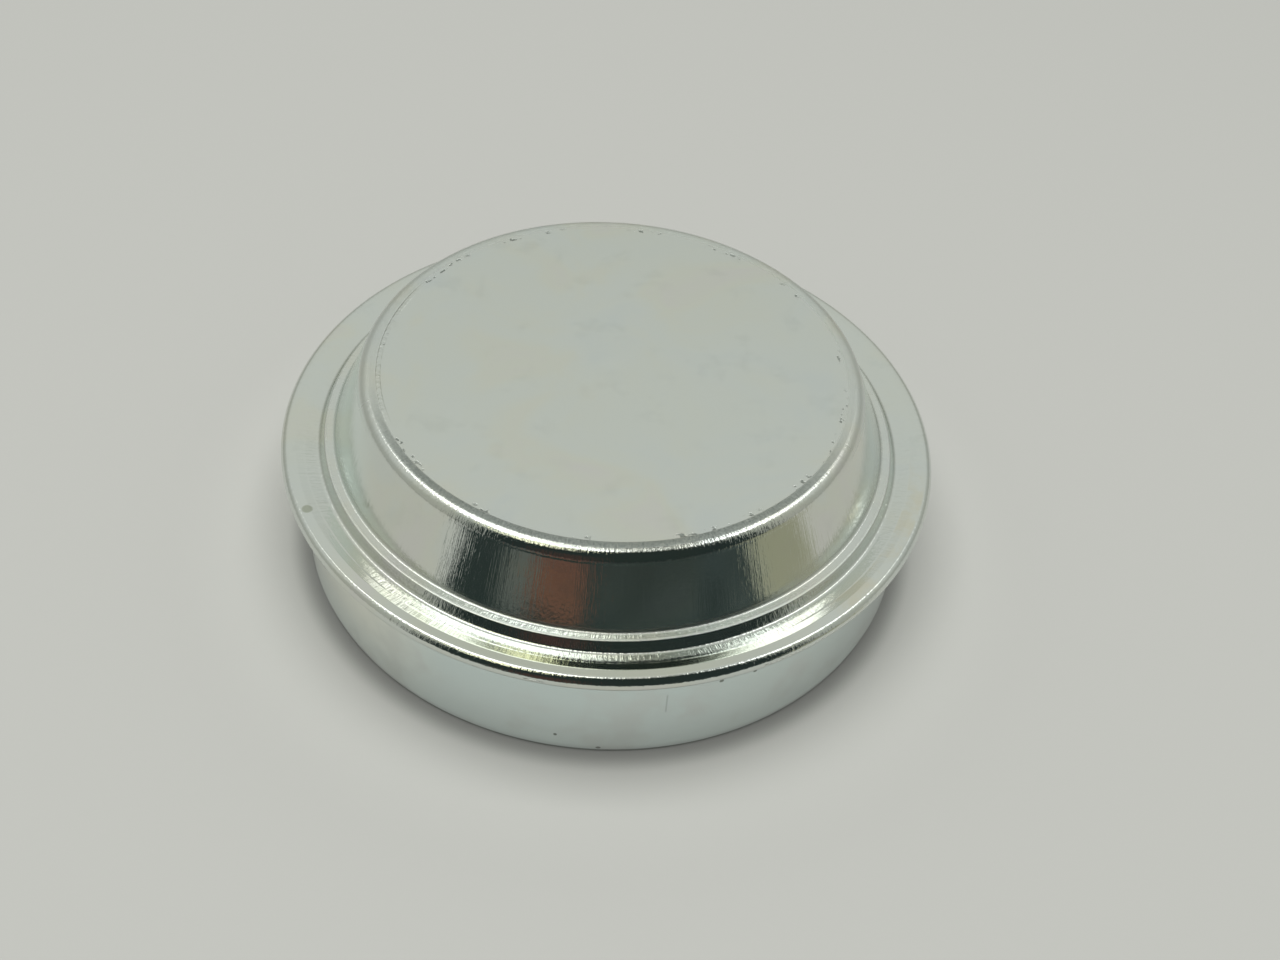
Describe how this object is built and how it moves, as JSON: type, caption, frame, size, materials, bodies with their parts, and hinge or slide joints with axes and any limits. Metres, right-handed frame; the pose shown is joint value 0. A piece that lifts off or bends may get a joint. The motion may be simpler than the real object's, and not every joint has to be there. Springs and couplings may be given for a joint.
{
  "type": "hub grease cap",
  "caption": "Round pressed sheet-steel cap with a domed top, a folded flange and an open skirt that presses into a wheel hub to keep its grease in.",
  "frame": {"origin": "on the cap's axis, in the plane of the open end that it stands on", "axes": "+Z along the cap's axis, from the open end to the flat top; the cap is round, so X and Y are free"},
  "size_m": [0.077, 0.077, 0.0248],
  "materials": {
    "zinc_plated_steel": "clear zinc plating, satin to bright, with a faint yellow and blue tint"
  },
  "bodies": {
    "root": {"grease_cap": "zinc_plated_steel"}
  },
  "joints": []
}
